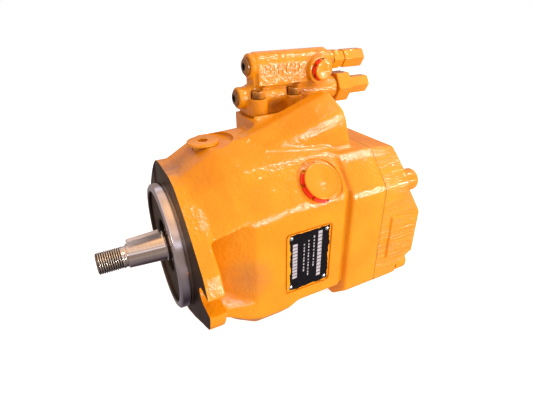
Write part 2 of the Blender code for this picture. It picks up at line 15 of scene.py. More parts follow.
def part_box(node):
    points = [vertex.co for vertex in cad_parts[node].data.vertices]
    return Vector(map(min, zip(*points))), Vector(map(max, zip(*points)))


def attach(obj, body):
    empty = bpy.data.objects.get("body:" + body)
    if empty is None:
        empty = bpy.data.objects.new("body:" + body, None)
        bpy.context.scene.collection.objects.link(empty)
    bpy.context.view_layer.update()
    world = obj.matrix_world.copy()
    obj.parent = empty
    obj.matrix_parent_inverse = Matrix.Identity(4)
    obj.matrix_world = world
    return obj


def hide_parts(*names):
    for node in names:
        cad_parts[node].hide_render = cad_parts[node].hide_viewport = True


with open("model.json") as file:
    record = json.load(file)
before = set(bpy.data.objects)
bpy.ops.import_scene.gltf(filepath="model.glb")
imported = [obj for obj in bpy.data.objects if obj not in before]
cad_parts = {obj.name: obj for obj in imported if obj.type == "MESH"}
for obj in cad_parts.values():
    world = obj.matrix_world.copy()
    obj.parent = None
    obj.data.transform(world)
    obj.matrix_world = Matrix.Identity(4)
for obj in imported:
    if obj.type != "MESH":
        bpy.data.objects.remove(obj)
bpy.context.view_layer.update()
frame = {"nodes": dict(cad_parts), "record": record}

MM = 0.001
PILOT_LENGTH = 12.0
MOUNT_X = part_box("pump_housing")[0].x + PILOT_LENGTH * MM
INTO_FRAME = Matrix.Translation((MOUNT_X, 0, 0)) @ Matrix.Scale(MM, 4)


def node_box(node):
    """A node's lowest and highest corner, in millimetres about the mounting face."""
    back = INTO_FRAME.inverted()
    low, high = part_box(node)
    return back @ low, back @ high


# casting
FLANGE_THICKNESS = 15.0
PILOT_R = 63.5
BOLT_SPACING = 181.0
BOLT_SLOT_R = 8.75
EAR_END = 106.5
REAR_FLANGE_X = 156.0
JOINT_X = node_box("pump_housing")[1].x
PLATE_X = node_box("port_plate")[0].x
PLATE_STEP_X = 229.0
PLATE_DROP = 4.0
REAR_X = node_box("port_plate")[1].x
BASE_Z = -84.0
WALL_Y = 80.0
REAR_WALL_Y = 83.0
CAVITY_R = 56.0
SLANT_ANGLE = math.radians(48.6)

# inside
BALL_X = 82.0
STROKE_Y = -12.0
STROKE_TIP = (85.5, 71.0)
STROKE_TILT = math.radians(16.0)
STROKE_R = 16.7
COUNTER_Z = -60.0

# control valve
UPPER_CAP = node_box("upper_adjuster_cap")
LOWER_CAP = node_box("lower_adjuster_cap")
UPPER_PLUG_X = node_box("upper_end_plug")[0].x
LOWER_PLUG_X = node_box("lower_end_plug")[0].x
VALVE_Y = (UPPER_CAP[0].y + UPPER_CAP[1].y) / 2
UPPER_Z = (UPPER_CAP[0].z + UPPER_CAP[1].z) / 2
LOWER_Z = (LOWER_CAP[0].z + LOWER_CAP[1].z) / 2
PAD_Z = 113.5
LUG_Z = 131.5
SCREW_SPOTS = ((103.9, 10.5), (144.0, 10.5), (103.9, 38.0), (144.0, 38.0))
VALVE_PORT = (173.0, 5.0, 153.5)

# outside fittings
DRAIN_SPOT = (127.5, -66.4, 66.1)
PLUG_X = 40.0
PLUG_FLOOR_Z = 99.5
COVER_BOLTS = []
for number in range(1, 5):
    low, high = node_box(f"cover_bolt_{number}")
    COVER_BOLTS.append(((low.y + high.y) / 2, (low.z + high.z) / 2))
BOLT_HEAD_R = 11.8
BOLT_END_X = node_box("cover_bolt_1")[1].x
PLATE_LOW, PLATE_HIGH = node_box("nameplate")
PAINT_CREEP = 2.5


# ---------------------------------------------------------------- solids
def prism(points, low, high, axis="X"):
    """A polygon pushed from low to high. Its points are the two other coordinates, in XYZ order."""
    bm = bmesh.new()
    rings = []
    for level in (low, high):
        ring = []
        for a, b in points:
            place = {"X": (level, a, b), "Y": (a, level, b), "Z": (a, b, level)}[axis]
            ring.append(bm.verts.new(place))
        rings.append(ring)
    bm.faces.new(rings[0])
    bm.faces.new(rings[1])
    bmesh.ops.bridge_loops(bm, edges=bm.edges[:])
    return bm


def box(x0, x1, y0, y1, z0, z1):
    return prism([(y0, z0), (y1, z0), (y1, z1), (y0, z1)], x0, x1)


def hull(points):
    """The convex solid round a set of points."""
    bm = bmesh.new()
    for point in points:
        bm.verts.new(point)
    bmesh.ops.convex_hull(bm, input=bm.verts)
    return bm


def loft(sections):
    """Cross sections (x, [(y, z), ...]) with equally many points, joined into one solid."""
    bm = bmesh.new()
    rings = [[bm.verts.new((x, y, z)) for y, z in points] for x, points in sections]
    count = len(rings[0])
    for one, two in zip(rings, rings[1:]):
        for i in range(count):
            j = (i + 1) % count
            bm.faces.new((one[i], one[j], two[j], two[i]))
    bm.faces.new(rings[0])
    bm.faces.new(rings[-1])
    bmesh.ops.triangulate(bm, faces=bm.faces[:])
    return bm


def turned(profile, segments=64):
    """A solid of revolution about X. profile is a list of (x, radius); radius 0 is a pole."""
    bm = bmesh.new()
    rings = []
    for x, radius in profile:
        if radius == 0:
            rings.append([bm.verts.new((x, 0, 0))])
            continue
        angles = [2 * math.pi * i / segments for i in range(segments)]
        rings.append([bm.verts.new((x, radius * math.cos(a), radius * math.sin(a))) for a in angles])
    closed = profile[0][1] > 0
    pairs = zip(rings, rings[1:] + rings[:1]) if closed else zip(rings, rings[1:])
    for one, two in pairs:
        for i in range(segments):
            j = (i + 1) % segments
            corners = []
            for corner in (one[i % len(one)], one[j % len(one)], two[j % len(two)], two[i % len(two)]):
                if corner not in corners:
                    corners.append(corner)
            if len(corners) > 2:
                bm.faces.new(corners)
    return bm


def rod(x0, x1, radius, segments=64, chamfer=0.0):
    """A round rod along X, with its ends chamfered if wanted."""
    profile = [(x0, 0), (x0, radius - chamfer)]
    if chamfer:
        profile += [(x0 + chamfer, radius), (x1 - chamfer, radius)]
    profile += [(x1, radius - chamfer), (x1, 0)]
    return turned(profile, segments)


def hexagon(x0, x1, across):
    """A hexagonal rod along X, by its width across the flats."""
    return rod(x0, x1, across / math.sqrt(3), 6)


def arc(cy, cz, radius, start, end, steps):
    """Points on a circle, from the start angle to the end angle in degrees."""
    out = []
    for i in range(steps + 1):
        angle = math.radians(start + (end - start) * i / steps)
        out.append((cy + radius * math.cos(angle), cz + radius * math.sin(angle)))
    return out


def rounded(a0, a1, b0, b1, radius, steps=6):
    """A rectangle with round corners."""
    out = arc(a1 - radius, b1 - radius, radius, 0, 90, steps)
    out += arc(a0 + radius, b1 - radius, radius, 90, 180, steps)
    out += arc(a0 + radius, b0 + radius, radius, 180, 270, steps)
    return out + arc(a1 - radius, b0 + radius, radius, 270, 360, steps)


def moved(bm, offset=(0, 0, 0), turn=0.0, axis="Z"):
    """Turn a solid about an axis through the origin, in radians, and then shift it."""
    bmesh.ops.transform(bm, matrix=Matrix.Rotation(turn, 4, axis), verts=bm.verts)
    bmesh.ops.translate(bm, vec=offset, verts=bm.verts)
    return bm


def upright(bm, x, y, z=0.0):
    """Stand a solid turned about X on end, so that its +X becomes +Z."""
    return moved(bm, (x, y, z), -math.pi / 2, "Y")


def sideways(bm, x, y, z):
    """Lay a solid turned about X across the pump, so that its +X becomes -Y."""
    return moved(bm, (x, y, z), -math.pi / 2, "Z")


def slanted(bm):
    """Set a solid turned about X on the slanted side face, with +X pointing out of it."""
    upright(bm, 0, 0)
    return moved(bm, DRAIN_SPOT, SLANT_ANGLE, "X")


def mirrored(points):
    """The near half of an outline (-y side, bottom to top) and its mirror image."""
    return points + [(-y, z) for y, z in reversed(points)]


# ---------------------------------------------------------------- pieces
def workpiece(bm):
    """A solid that is only worked on, in millimetres."""
    bmesh.ops.remove_doubles(bm, verts=bm.verts, dist=1e-4)
    bmesh.ops.recalc_face_normals(bm, faces=bm.faces)
    mesh = bpy.data.meshes.new("work")
    bm.to_mesh(mesh)
    bm.free()
    obj = bpy.data.objects.new("work", mesh)
    bpy.context.scene.collection.objects.link(obj)
    return obj


def worked(start, steps):
    """The mesh left after a list of steps: ("+", solid), ("-", solid) or ("cast", voxel, passes)."""
    body = workpiece(start)
    helpers = []
    for kind, *details in steps:
        if kind == "cast":
            skin = body.modifiers.new("skin", "REMESH")
            skin.mode = "VOXEL"
            skin.voxel_size = details[0]
            rub = body.modifiers.new("rub", "SMOOTH")
            rub.factor = 0.5
            rub.iterations = details[1]
            continue
        helpers.append(workpiece(details[0]))
        knife = body.modifiers.new("knife", "BOOLEAN")
        knife.solver = "MANIFOLD"
        knife.operation = "UNION" if kind == "+" else "DIFFERENCE"
        knife.object = helpers[-1]
    graph = bpy.context.evaluated_depsgraph_get()
    mesh = bpy.data.meshes.new_from_object(body.evaluated_get(graph))
    for obj in [body, *helpers]:
        old = obj.data
        bpy.data.objects.remove(obj)
        bpy.data.meshes.remove(old)
    return mesh


def piece(name, shape, material, body, stands_for=(), edge=0.0, smooth=35):
    """Set a shape, a mesh or an unworked solid in millimetres, into the frame as a piece.

    material is one material, or a list and a rule that picks one by a face's centre and normal."""
    mesh = shape if isinstance(shape, bpy.types.Mesh) else worked(shape, [])
    materials, rule = material if isinstance(material, tuple) else ([material], None)
    mesh.materials.clear()
    for entry in materials:
        mesh.materials.append(entry)
    if rule:
        for face in mesh.polygons:
            face.material_index = rule(face.center, face.normal)
    mesh.name = name
    mesh.transform(INTO_FRAME)
    mesh.shade_smooth()
    mesh.set_sharp_from_angle(angle=math.radians(smooth))
    obj = bpy.data.objects.new(name, mesh)
    bpy.context.scene.collection.objects.link(obj)
    if edge:
        bevel = obj.modifiers.new("edge", "BEVEL")
        bevel.width = edge * MM
        bevel.segments = 3
        bevel.limit_method = "ANGLE"
        bevel.angle_limit = math.radians(32)
        bevel.harden_normals = True
    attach(obj, body)
    if stands_for:
        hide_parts(*stands_for)
    return obj


# ---------------------------------------------------------------- materials
class Nodes:
    """A node material under construction."""

    def __init__(self, name):
        self.material = bpy.data.materials.new(name)
        self.material.use_nodes = True
        self.tree = self.material.node_tree
        self.shader = self.tree.nodes["Principled BSDF"]
        self.where = self.tree.nodes.new("ShaderNodeTexCoord").outputs["Object"]

    def link(self, source, target):
        self.tree.links.new(source, target)

    def stretched(self, scale):
        mapping = self.tree.nodes.new("ShaderNodeMapping")
        mapping.inputs["Scale"].default_value = scale
        self.link(self.where, mapping.inputs["Vector"])
        return mapping.outputs["Vector"]

    def noise(self, scale, detail=3.0, rough=0.5, where=None):
        node = self.tree.nodes.new("ShaderNodeTexNoise")
        node.inputs["Scale"].default_value = scale
        node.inputs["Detail"].default_value = detail
        node.inputs["Roughness"].default_value = rough
        self.link(where or self.where, node.inputs["Vector"])
        return node.outputs["Fac"]

    def ramp(self, source, stops):
        """stops is a list of (position, colour or grey value)."""
        node = self.tree.nodes.new("ShaderNodeValToRGB")
        elements = node.color_ramp.elements
        while len(elements) < len(stops):
            elements.new(0.5)
        for element, (place, value) in zip(elements, stops):
            element.position = place
            colour = value if isinstance(value, tuple) else (value, value, value)
            element.color = (*colour, 1.0)
        self.link(source, node.inputs["Fac"])
        return node.outputs["Color"]

    def mixed(self, factor, one, two):
        node = self.tree.nodes.new("ShaderNodeMix")
        node.data_type = "RGBA"
        for socket, value in ((0, factor), (6, one), (7, two)):
            if isinstance(value, bpy.types.NodeSocket):
                self.link(value, node.inputs[socket])
            elif isinstance(value, tuple):
                node.inputs[socket].default_value = (*value, 1.0)
            else:
                node.inputs[socket].default_value = value
        return node.outputs[2]

    def sum(self, operation, one, two):
        """A Math node's result; one and two are sockets or numbers."""
        node = self.tree.nodes.new("ShaderNodeMath")
        node.operation = operation
        for socket, value in zip(node.inputs, (one, two)):
            if isinstance(value, bpy.types.NodeSocket):
                self.link(value, socket)
            else:
                socket.default_value = value
        return node.outputs["Value"]

    def bump(self, height, distance_mm, strength=1.0, under=None):
        node = self.tree.nodes.new("ShaderNodeBump")
        node.inputs["Distance"].default_value = distance_mm * MM
        node.inputs["Strength"].default_value = strength
        self.link(height, node.inputs["Height"])
        if under:
            self.link(under, node.inputs["Normal"])
        return node.outputs["Normal"]

    def near(self, place, radius):
        """1 at a place (millimetres about the mounting face), falling raggedly to 0 at the radius."""
        node = self.tree.nodes.new("ShaderNodeVectorMath")
        node.operation = "DISTANCE"
        self.link(self.where, node.inputs[0])
        node.inputs[1].default_value = INTO_FRAME @ Vector(place)
        ragged = self.tree.nodes.new("ShaderNodeMath")
        ragged.operation = "MULTIPLY_ADD"
        self.link(self.noise(120, 5, 0.65), ragged.inputs[0])
        ragged.inputs[1].default_value = radius * MM
        self.link(node.outputs["Value"], ragged.inputs[2])
        reach = self.tree.nodes.new("ShaderNodeMapRange")
        reach.inputs["From Min"].default_value = 1.5 * radius * MM
        reach.inputs["From Max"].default_value = 0.5 * radius * MM
        self.link(ragged.outputs["Value"], reach.inputs["Value"])
        return reach.outputs["Result"]

    def finish(self, colour, rough, normal, **fixed):
        for socket, value in (("Base Color", colour), ("Roughness", rough), ("Normal", normal),
                              ("Coat Normal", normal)):
            if value is not None:
                self.link(value, self.shader.inputs[socket])
        for socket, value in fixed.items():
            self.shader.inputs[socket.replace("_", " ")].default_value = value
        return self.material


YELLOW = (0.67, 0.232, 0.002)
DEEP = (0.64, 0.196, 0.001)
THIN = (0.27, 0.10, 0.025)


def paint(name, peel=1.0, lines=0.0, thin=0.0, wear_and_shade_spots=(), under=THIN):
    """Thick enamel over a casting: orange peel, slow waves, darker places where it is thin, and darker spots
    of worn paint and of painted shade.
    """
    m = Nodes(name)
    tone = m.ramp(m.noise(24, 3), [(0.35, DEEP), (0.62, YELLOW)])
    if thin:
        patches = m.ramp(m.noise(36, 5, 0.65), [(0.60 - thin * 0.1, 0.0), (0.74 - thin * 0.1, 0.8)])
        tone = m.mixed(patches, tone, THIN)
    # darker spots of the under tone: worn paint in some places, painted shade in others
    for place, radius, amount in wear_and_shade_spots:
        spot = m.ramp(m.near(place, radius), [(0.0, 0.0), (1.0, amount)])
        tone = m.mixed(spot, tone, under)
    rough = m.ramp(m.noise(160, 2), [(0.3, 0.36), (0.7, 0.50)])
    normal = m.bump(m.noise(55, 2, 0.5), 1.5, 0.4 * peel)
    normal = m.bump(m.noise(260, 2, 0.5), 0.75, 0.85 * peel, normal)
    normal = m.bump(m.noise(520, 2, 0.6), 0.3, 0.35 * peel, normal)
    if lines:
        streaks = m.noise(1.0, 2, 0.5, m.stretched((22, 22, 430)))
        normal = m.bump(m.ramp(streaks, [(0.42, 0.0), (0.58, 1.0)]), 0.5, lines, normal)
    return m.finish(tone, rough, normal, Coat_Weight=0.7, Coat_Roughness=0.04, Specular_IOR_Level=0.1)


def steel(name, colour, rough, axis_scale, tint=(0.42, 0.33, 0.27), stain_and_sheen=0.35, edge=(1, 1, 1)):
    """Machined steel with tool marks across the given directions and a few warm stains; on the shaft the
    warm stains are also a painted warm reflection.
    """
    m = Nodes(name)
    marks = m.noise(1.0, 3, 0.6, m.stretched(axis_scale))
    stains_and_sheen = m.ramp(m.noise(55, 4, 0.6), [(0.45, 0.0), (0.75, stain_and_sheen)])
    tone = m.mixed(stains_and_sheen, m.ramp(marks, [(0.3, tuple(0.8 * c for c in colour)), (0.7, colour)]), tint)
    roughness = m.ramp(marks, [(0.25, rough - 0.08), (0.75, rough + 0.10)])
    return m.finish(tone, roughness, m.bump(marks, 0.05, 0.5), Metallic=1.0, Specular_Tint=(*edge, 1))


def plastic(name, colour, rough, gloss=0.5):
    """Moulded plastic or rubber with a fine grain."""
    m = Nodes(name)
    tone = m.ramp(m.noise(300, 3), [(0.35, tuple(0.75 * c for c in colour)), (0.65, colour)])
    shine = m.ramp(m.noise(180, 2), [(0.3, rough - 0.08), (0.7, rough + 0.1)])
    return m.finish(tone, shine, m.bump(m.noise(900, 2), 0.05, 0.4), Specular_IOR_Level=gloss)


def crept_paint(name, colour):
    """The nameplate's black, with the casting's paint crept raggedly over its rim."""
    m = Nodes(name)
    split = m.tree.nodes.new("ShaderNodeSeparateXYZ")
    m.link(m.where, split.inputs[0])
    low = INTO_FRAME @ PLATE_LOW
    high = INTO_FRAME @ PLATE_HIGH
    across = split.outputs["X"]
    upwards = split.outputs["Z"]
    inside = [m.sum("SUBTRACT", across, low.x + PAINT_CREEP * MM), m.sum("SUBTRACT", high.x, across)]
    inside += [m.sum("SUBTRACT", upwards, low.z), m.sum("SUBTRACT", high.z, upwards)]
    reach = m.sum("MINIMUM", m.sum("MINIMUM", inside[0], inside[1]), m.sum("MINIMUM", inside[2], inside[3]))
    ragged = m.sum("MULTIPLY", m.noise(130, 4, 0.6), 7 * MM)
    covered = m.sum("LESS_THAN", m.sum("ADD", reach, ragged), 4.3 * MM)
    grain = m.ramp(m.noise(300, 3), [(0.35, tuple(0.6 * c for c in colour)), (0.65, colour)])
    tone = m.mixed(covered, grain, YELLOW)
    shine = m.ramp(m.noise(180, 2), [(0.3, 0.25), (0.7, 0.40)])
    return m.finish(tone, shine, m.bump(covered, 0.15, 0.8), Specular_IOR_Level=0.15)


# worn places and painted shade: a point, the radius round it, and how far the darker tone shows through
# at the nose the paint is worn; in the ear pocket the darker tone is partly overspray and partly painted
# shade
CAST_WEAR_AND_SHADE = [((6, -3, 84), 20, 0.9), ((45, -78, -9), 29, 0.5)]
CAST_PAINT = paint("cast paint", wear_and_shade_spots=CAST_WEAR_AND_SHADE, under=(0.30, 0.12, 0.05))
# darker round the screw recesses and in the creases under and beside the lower spool: painted shade
VALVE_PAINTED_SHADE = [((x, y, LUG_Z + 1), 11, 0.75) for x, y in SCREW_SPOTS]
VALVE_PAINTED_SHADE += [((124, VALVE_Y - 12, LOWER_Z - 9), 12, 0.7), ((164, VALVE_Y - 11, LOWER_Z + 8), 9, 0.5)]
VALVE_PAINT = paint("valve paint", peel=1.25, thin=0.25, wear_and_shade_spots=VALVE_PAINTED_SHADE)
PLATE_PAINT = paint("brushed paint", peel=0.7, lines=0.9)
SMOOTH_PAINT = paint("fitting paint", peel=0.7)
SCREW_WORN = [((x - 3.5, y - 3, LUG_Z + 3), 10, 0.95) for x, y in SCREW_SPOTS]
SCREW_WORN += [((UPPER_PLUG_X, VALVE_Y, UPPER_Z), 24, 0.95), ((LOWER_PLUG_X, VALVE_Y, LOWER_Z), 26, 1.0)]
# worn, thin paint on the screws and plugs; also darkens the faces deep in the top plug's socket as painted
# shade
DIRTY_PAINT_AND_SHADE = paint("screw paint", peel=0.9, thin=0.6, wear_and_shade_spots=SCREW_WORN, under=(0.05, 0.03, 0.018))
RECESS_STEEL = steel("recess steel", (0.11, 0.085, 0.07), 0.38, (900, 60, 60),
                     (0.16, 0.10, 0.06), edge=(0.8, 0.7, 0.6))
FACE_STEEL = steel("flange face steel", (0.06, 0.042, 0.034), 0.34, (900, 60, 60),
                   (0.10, 0.07, 0.05), edge=(0.40, 0.33, 0.30))
PILOT_STEEL = steel("pilot steel", (0.88, 0.77, 0.74), 0.19, (1500, 20, 20), (0.62, 0.46, 0.36))
# the shaft's warm stain tint is partly real stain and partly a painted warm reflection
SHAFT_STEEL = steel("shaft steel", (0.90, 0.78, 0.68), 0.12, (1800, 18, 18), (0.75, 0.55, 0.36))
THREAD_STEEL = steel("thread steel", (0.90, 0.80, 0.68), 0.26, (40, 40, 40), stain_and_sheen=0.15)
# the thread's roots darker than its crests: painted shade in the grooves
THREAD_ROOT_SHADE = steel("thread root", (0.13, 0.10, 0.08), 0.40, (40, 40, 40), (0.05, 0.04, 0.03))
KEY_STEEL = steel("key steel", (0.95, 0.86, 0.82), 0.60, (60, 900, 900), stain_and_sheen=0.15)
INNER_STEEL = steel("inner steel", (0.50, 0.50, 0.52), 0.28, (1200, 90, 90))
SPRING_STEEL = steel("spring steel", (0.30, 0.30, 0.32), 0.35, (700, 700, 700))
BRONZE = steel("bronze", (0.62, 0.42, 0.18), 0.30, (1200, 90, 90))
RED = plastic("red plastic", (0.88, 0.032, 0.004), 0.35, 0.2)
# also blackens the valve plugs' hex sockets: painted shade in the sockets
RUBBER_AND_SOCKET_SHADE = plastic("seal rubber and socket shade", (0.018, 0.018, 0.018), 0.50)
FIBRE = plastic("gasket edge", (0.42, 0.17, 0.01), 0.60, 0.1)
PLATE_BLACK = crept_paint("nameplate black", (0.006, 0.005, 0.007))
MARK_GREY = plastic("nameplate marks", (0.42, 0.38, 0.40), 0.45)
RIVET = steel("rivet metal", (0.80, 0.79, 0.78), 0.25, (600, 600, 600), stain_and_sheen=0.1)


# ---------------------------------------------------------------- housing
RIDGE_BEVEL = 3.8
FLANGE_OUTLINE = [(-20, -72), (-50, -57), (-74, -42.8), (-90, -34), (-100, -28), (-104, -20)]
FLANGE_OUTLINE += [(-EAR_END, -9.2), (-EAR_END, 9.2), (-99, 25), (-87, 37), (-71, 52.5), (-53, 67)]
FLANGE_OUTLINE += [(-36, 78), (-20, 81.5)]


def body_section(wall, low, ridge, foot, crease, top):
    """The casting's cross section; foot, crease and top are the (y, z) sizes of its corners.

    The ridge between the wall and the slanted face is bevelled."""
    slope = Vector((wall - crease[0], crease[1] - ridge)).normalized() * RIDGE_BEVEL
    half = [(-foot[0], foot[1]), (-wall, low), (-wall, ridge - RIDGE_BEVEL)]
    half += [(-wall + slope.x, ridge + slope.y), (-crease[0], crease[1]), (-top[0], top[1])]
    return mirrored(half)


def rear_section(wall):
    return body_section(wall, -64, 51, (62, BASE_Z), (60, 77.5), (52, 84))


BULGE_SIDES = ((0.88, -0.9), (0.88, 0.36), (0.80, 0.68))


def bulge_section(radius, top):
    """Outline of the stroking cylinder's boss: a narrow top and two facets down each side."""
    sides = [(-y * radius, z * radius) for y, z in BULGE_SIDES]
    return mirrored(sides + [(-0.24 * radius, top)])


def housing_casting():
    body = loft([
        (8, body_section(78, -36, 40, (26, -72), (48, 70), (26, 81))),
        (30, body_section(WALL_Y, -46, 43, (36, -80), (49, 76), (25, 94))),
        (42, body_section(WALL_Y, -54, 46, (46, BASE_Z), (50, 81), (23, 101))),
        (60, body_section(WALL_Y, -60, 48, (60, BASE_Z), (50, 85), (18, 102.5))),
        (90, body_section(WALL_Y, -60, 52, (60, BASE_Z), (50, 86), (18, 104))),
        (101, body_section(WALL_Y, -54, 53, (58, -76), (50, 86), (18, 104))),
        (150, body_section(WALL_Y, -54, 53, (58, -76), (50, 86), (18, 104))),
        (154, body_section(76, -53, 53, (57, -75), (50, 85), (18, 96))),
        (165, body_section(75.5, -53, 50, (57, -75), (50, 83), (30, 84))),
    ])
    boss = loft([(-95, bulge_section(26, 30.5)), (-20, bulge_section(34.5, 36)),
                 (5, bulge_section(35, 37)), (7, bulge_section(34, 35.5))])
    boss = moved(boss, turn=-STROKE_TILT, axis="Y")
    steps = [
        ("+", prism(mirrored(FLANGE_OUTLINE), -8, FLANGE_THICKNESS)),
        ("+", prism(rear_section(REAR_WALL_Y), REAR_FLANGE_X, JOINT_X + 8)),
        ("+", moved(boss, (170, STROKE_Y, 99))),
        ("+", box(90, 165, -6, 41, 70, PAD_Z + 5)),
        ("+", box(60, 110, -30, 30, 60, 95)),
        ("-", box(80, 200, -4, 80, PAD_Z + 5, 180)),
    ]
    for side in (-1, 1):
        corners = [(15, 60, 40), (15, 115, 40), (56, 80.5, 50), (56, 115, 50)]
        corners += [(15, 60, -18), (15, 115, -48.5), (56, 80.5, -40), (56, 115, -59)]
        steps.append(("-", hull([(x, side * y, z) for x, y, z in corners])))
    steps.append(("cast", 1.3, 18))

    steps += [("-", box(-20, 0, -130, 130, -100, 110)), ("-", box(JOINT_X, 220, -130, 130, -100, 130)),
              ("-", box(80, 200, -4.5, 80, PAD_Z, 180))]
    ring = [(-PILOT_LENGTH, 0), (-PILOT_LENGTH, PILOT_R - 2.0), (-PILOT_LENGTH + 1.2, PILOT_R - 0.4)]
    ring += [(-PILOT_LENGTH + 1.8, PILOT_R), (-3.6, PILOT_R), (-3.4, PILOT_R - 0.9), (-2.8, PILOT_R - 0.9)]
    ring += [(-2.6, PILOT_R + 0.2), (-0.6, PILOT_R + 0.2), (-0.3, PILOT_R - 0.4), (4, PILOT_R - 0.4), (4, 0)]
    steps.append(("+", turned(ring, 192)))
    for side in (-1, 1):
        start = 90 if side > 0 else -90
        slot = arc(side * BOLT_SPACING / 2, 0, BOLT_SLOT_R, start, start + 180, 24)
        slot += [(side * 120, slot[-1][1]), (side * 120, slot[0][1])]
        steps.append(("-", prism(slot, -1, FLANGE_THICKNESS + 1)))
    front = [(-20, 0), (-20, 57), (-PILOT_LENGTH, 57), (-PILOT_LENGTH + 1.2, 56), (-9, 56), (-9, 29)]
    front += [(-7.8, 27.3), (9.3, 27.3), (9.3, 24), (11.7, 24), (11.7, 31.3), (30.3, 31.3), (30.3, 26)]
    steps.append(("-", turned(front + [(45, 26), (45, 0)], 96)))
    spotface = [(0, 0), (0, 23.4), (0.6, 24), (30, 24), (30, 0)]
    steps += [
        ("-", rod(62, JOINT_X + 5, CAVITY_R, 72)),
        ("-", box(46, 102, -50, 50, -56, 56)),
        ("-", prism(arc(BALL_X, 0, 48.4, 0, 360, 72)[:-1], -50, 50, "Y")),
        ("-", box(44, 112, STROKE_Y - 10, STROKE_Y + 10, 40, 84.5)),
        ("-", box(44, 104, -10, 10, -73, -40)),
        ("-", moved(rod(50, 152, 8.0, 32), (0, 0, COUNTER_Z))),
        ("-", moved(rod(150, 192, 4.1, 24), (0, 0, COUNTER_Z))),
        ("-", moved(moved(rod(24, 85, STROKE_R + 0.5, 48), turn=-STROKE_TILT, axis="Y"),
                    (STROKE_TIP[0], STROKE_Y, STROKE_TIP[1]))),
        ("-", upright(turned(spotface, 96), PLUG_X + 5, 0, PLUG_FLOOR_Z)),
        ("-", upright(rod(-12, 5, 10.4, 48), PLUG_X, 0, PLUG_FLOOR_Z)),
        ("-", slanted(turned([(0, 0), (0, 23.2), (0.8, 24), (20, 24), (20, 0)], 96))),
        ("-", slanted(rod(-15, 5, 13.4, 48))),
        ("-", slanted(rod(-60, 5, 9, 32))),
        ("-", prism(rounded(PLATE_LOW.x - 2, PLATE_HIGH.x + 2, PLATE_LOW.z - 2, PLATE_HIGH.z + 2, 4),
                    -90, -WALL_Y + 1.4, "Y")),
    ]
    steps += [("-", moved(rod(176, JOINT_X + 2, 7.5, 32), (0, y, z))) for y, z in COVER_BOLTS]
    steps += [("-", upright(rod(-12, 5, 4.5, 24), x, y, PAD_Z)) for x, y in SCREW_SPOTS]
    mesh = worked(body, steps)

    def bare(centre, normal):
        """Bare steel in front of the flange face, on the pilot and in its bores."""
        radius = math.hypot(centre.y, centre.z)
        if centre.x < 0.02 and normal.x < -0.9 and radius > PILOT_R - 1:
            return 1
        if centre.x < 0.02 and radius > 57.5:
            return 2
        return 3 if centre.x < 45 and radius < 57.5 else 0

    looks = [CAST_PAINT, FACE_STEEL, PILOT_STEEL, RECESS_STEEL]
    piece("housing_casting", mesh, (looks, bare), "housing",
          ["pump_housing"])


# ---------------------------------------------------------------- port plate and its joint
def port_plate_casting():
    outer = [(-60, -66), (-83, -54), (-83, 36), (-58, 62)]
    inner = [(-58, -58), (-83, -42), (-83, 11), (-56, 40)]
    # a raised pad on the near side, with a low bevel round it
    pad = [(209, -77, -39, 16), (209, -83.2, -38, 15), (210.5, -84.9, -36, 13), (246, -84.9, -33, 6)]
    pad += [(248.5, -83, -35, 8), (248.5, -77, -35, 8)]
    side_pad = hull([(x, y, z) for x, y, low, high in pad for z in (low, high)])
    steps = [
        ("+", loft([(PLATE_STEP_X - 4, mirrored(outer)), (PLATE_STEP_X, mirrored(outer)),
                    (REAR_X - 1.5, mirrored(inner)), (REAR_X + 6, mirrored(inner))])),
        ("cast", 1.2, 5),
        ("+", side_pad),
        ("-", box(PLATE_X - 20, PLATE_X, -130, 130, -100, 130)),
        ("-", box(REAR_X, REAR_X + 20, -130, 130, -100, 130)),
        ("-", rod(PLATE_X - 5, 217.5, 21.4, 64)),
    ]
    for side, port_r in ((-1, 15.0), (1, 24.0)):
        kidney = arc(0, 0, 43, -62, 62, 20) + arc(0, 0, 31, 62, -62, 20)
        steps.append(("-", prism([(side * y, z) for y, z in kidney], PLATE_X - 5, 216)))
        port = [(212, 0), (212, port_r), (REAR_X - 1.5, port_r), (REAR_X + 0.01, port_r + 1.5)]
        steps.append(("-", moved(turned(port + [(REAR_X + 5, port_r + 1.5), (REAR_X + 5, 0)], 72),
                                 (0, side * 37, -4))))
        # four tapped holes for the hose flange
        for dy, dz in ((-1, -1), (-1, 1), (1, -1), (1, 1)):
            reach_y = port_r * 0.78 + 3.5
            reach_z = port_r * 1.1 + 7.0
            hole = rod(REAR_X - 18, REAR_X + 5, 4.0, 24)
            steps.append(("-", moved(hole, (0, side * 37 + dy * reach_y, -4 + dz * reach_z))))
    for y, z in COVER_BOLTS:
        steps.append(("-", moved(rod(PLATE_X - 5, REAR_X + 5, 7.5, 32), (0, y, z))))
        steps.append(("-", moved(rod(PLATE_STEP_X + 0.01, REAR_X + 9, BOLT_HEAD_R + 1.2, 64), (0, y, z))))
    front = rear_section(REAR_WALL_Y)
    back = [(y, z - PLATE_DROP if z > 60 else z) for y, z in front]
    mesh = worked(loft([(PLATE_X - 8, front), (PLATE_STEP_X, back)]), steps)

    def bare(centre, normal):
        return 1 if normal.x > 0.99 and centre.x > REAR_X - 0.05 or centre.x < PLATE_X + 0.05 else 0

    piece("port_plate_casting", mesh, ([PLATE_PAINT, INNER_STEEL], bare), "housing",
          ["port_plate"])


def softened(points, cut):
    """Every corner of an outline cut off, this far along its edges."""
    out = []
    for i, corner in enumerate(points):
        here = Vector(corner)
        for other in (points[i - 1], points[(i + 1) % len(points)]):
            out.append(tuple(here + (Vector(other) - here).normalized() * cut))
    return out


def gasket():
    low, high = node_box("cover_gasket")
    outline = softened(rear_section(REAR_WALL_Y - 0.15), 2.2)
    steps = [("-", rod(low.x - 4, high.x + 4, CAVITY_R + 4, 72))]
    steps += [("-", moved(rod(low.x - 4, high.x + 4, 8, 32), (0, y, z))) for y, z in COVER_BOLTS]
    mesh = worked(prism(outline, JOINT_X + 0.05, PLATE_X - 0.05), steps)
    piece("joint_gasket", mesh, FIBRE, "housing", ["cover_gasket"])


